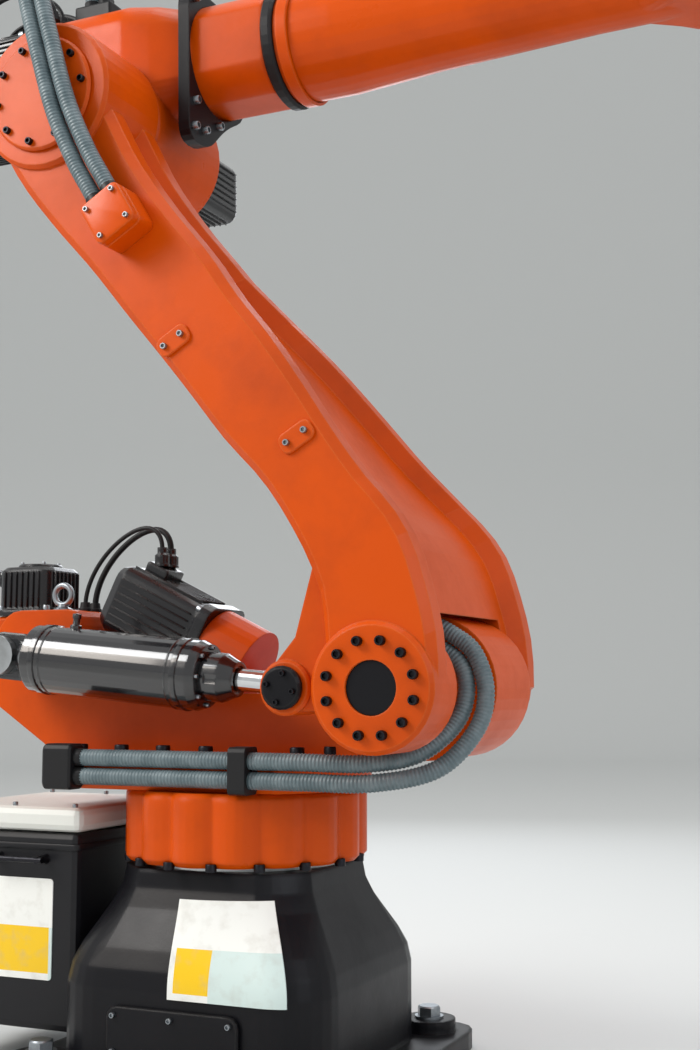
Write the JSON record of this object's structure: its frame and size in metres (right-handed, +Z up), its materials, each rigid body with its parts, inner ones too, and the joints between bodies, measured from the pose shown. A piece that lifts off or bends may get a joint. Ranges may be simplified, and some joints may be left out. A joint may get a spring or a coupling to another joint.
{
  "type": "industrial robot arm",
  "caption": "Heavy six-axis robot arm: turning column, forked link arm with counterbalance cylinder, long forearm with wrist and tool flange.",
  "frame": {"origin": "on the column's turning axis, at the foot's underside", "axes": "+Z up, +X towards the front, in the plane that the link arm and forearm swing in at rest"},
  "size_m": [1.7959, 0.6403, 2.014],
  "materials": {
    "orange_paint": "gloss paint on cast iron and aluminium",
    "black_casting": "satin black paint on cast iron",
    "pale_lid": "pale satin paint on sheet steel",
    "black_motor": "satin black paint on an aluminium housing",
    "black_cylinder": "gloss black paint on a steel tube",
    "black_plastic": "matte moulded plastic",
    "bright_steel": "ground steel",
    "hose_rubber": "grey corrugated hose"
  },
  "bodies": {
    "base": {"base_frame": "black_casting", "slewing_bearing": "bright_steel", "junction_box": "black_casting", "junction_lid": "pale_lid", "connector_panel": "black_plastic", "side_cover_near": "black_casting", "side_cover_far": "black_casting"},
    "column": {"slew_flange": "orange_paint", "column_casting": "orange_paint", "slew_motor": "black_motor", "shoulder_motor": "black_motor", "counterbalance_pin": "bright_steel", "hose_inlet": "black_plastic", "hose_clamp": "black_plastic", "column_hose_lower": "hose_rubber", "column_hose_upper": "hose_rubber", "shoulder_hose_lower": "hose_rubber", "shoulder_hose_upper": "hose_rubber"},
    "counterbalance_cylinder": {"cylinder_barrel": "black_cylinder", "cylinder_gland": "bright_steel"},
    "counterbalance_rod": {"piston_rod": "bright_steel"},
    "link_arm": {"link_casting": "orange_paint", "shoulder_cap_near": "black_casting", "shoulder_cap_far": "black_casting", "elbow_cover": "orange_paint", "ear_pin_cap": "black_casting", "hose_gland_lower": "black_plastic", "hose_gland_upper": "black_plastic", "elbow_hose_rear": "hose_rubber", "elbow_hose_front": "hose_rubber"},
    "arm_housing": {"arm_casting": "orange_paint", "arm_front_plate": "black_casting", "elbow_motor": "black_motor", "forearm_motor": "black_motor", "wrist_motor": "black_motor", "flange_motor": "black_motor", "hose_gland_arm": "black_plastic"},
    "forearm": {"forearm_seal_ring": "black_plastic", "forearm_casting": "orange_paint", "wrist_cap_near": "black_plastic", "wrist_cap_far": "black_plastic"},
    "wrist": {"wrist_casting": "orange_paint"},
    "tool_flange": {"tool_flange": "bright_steel"}
  },
  "joints": [
    {"name": "base_turn", "type": "hinge", "parent": "base", "child": "column", "pos_m": [0, 0, 0], "axis": [0, 0, 1], "range_deg": [-185, 185]},
    {"name": "shoulder", "type": "hinge", "parent": "column", "child": "link_arm", "pos_m": [0.345, 0, 0.625], "axis": [0, 1, 0], "range_deg": [-19, 116], "deforming": ["shoulder_hose_lower", "shoulder_hose_upper"]},
    {"name": "elbow", "type": "hinge", "parent": "link_arm", "child": "arm_housing", "pos_m": [-0.24729, 0, 1.61074], "axis": [0, -1, 0], "range_deg": [-35, 240], "deforming": ["elbow_hose_rear", "elbow_hose_front"]},
    {"name": "forearm_roll", "type": "hinge", "parent": "arm_housing", "child": "forearm", "pos_m": [-0.24956, 0, 1.74072], "axis": [0.9998, 0, 0.0175], "range_deg": [-350, 350]},
    {"name": "wrist_pitch", "type": "hinge", "parent": "forearm", "child": "wrist", "pos_m": [0.95025, 0, 1.76167], "axis": [0, 1, 0], "range_deg": [-125, 125]},
    {"name": "flange_turn", "type": "hinge", "parent": "wrist", "child": "tool_flange", "pos_m": [0.95025, 0, 1.76167], "axis": [0.9998, 0, 0.0175], "range_deg": [-350, 350]},
    {"name": "counterbalance_swing", "type": "hinge", "parent": "column", "child": "counterbalance_cylinder", "pos_m": [-0.39, -0.14, 0.68], "axis": [0, -1, 0], "range_deg": [-4, 17]},
    {"name": "counterbalance_slide", "type": "slide", "parent": "counterbalance_cylinder", "child": "counterbalance_rod", "axis": [0.9956, 0, -0.0936], "range_m": [-0.05, 0.21]}
  ],
  "couplings": [
    {"joint": "counterbalance_swing", "follows": "shoulder", "ratio": 0.1324},
    {"joint": "counterbalance_slide", "follows": "shoulder", "m_per_rad": 0.091645}
  ]
}
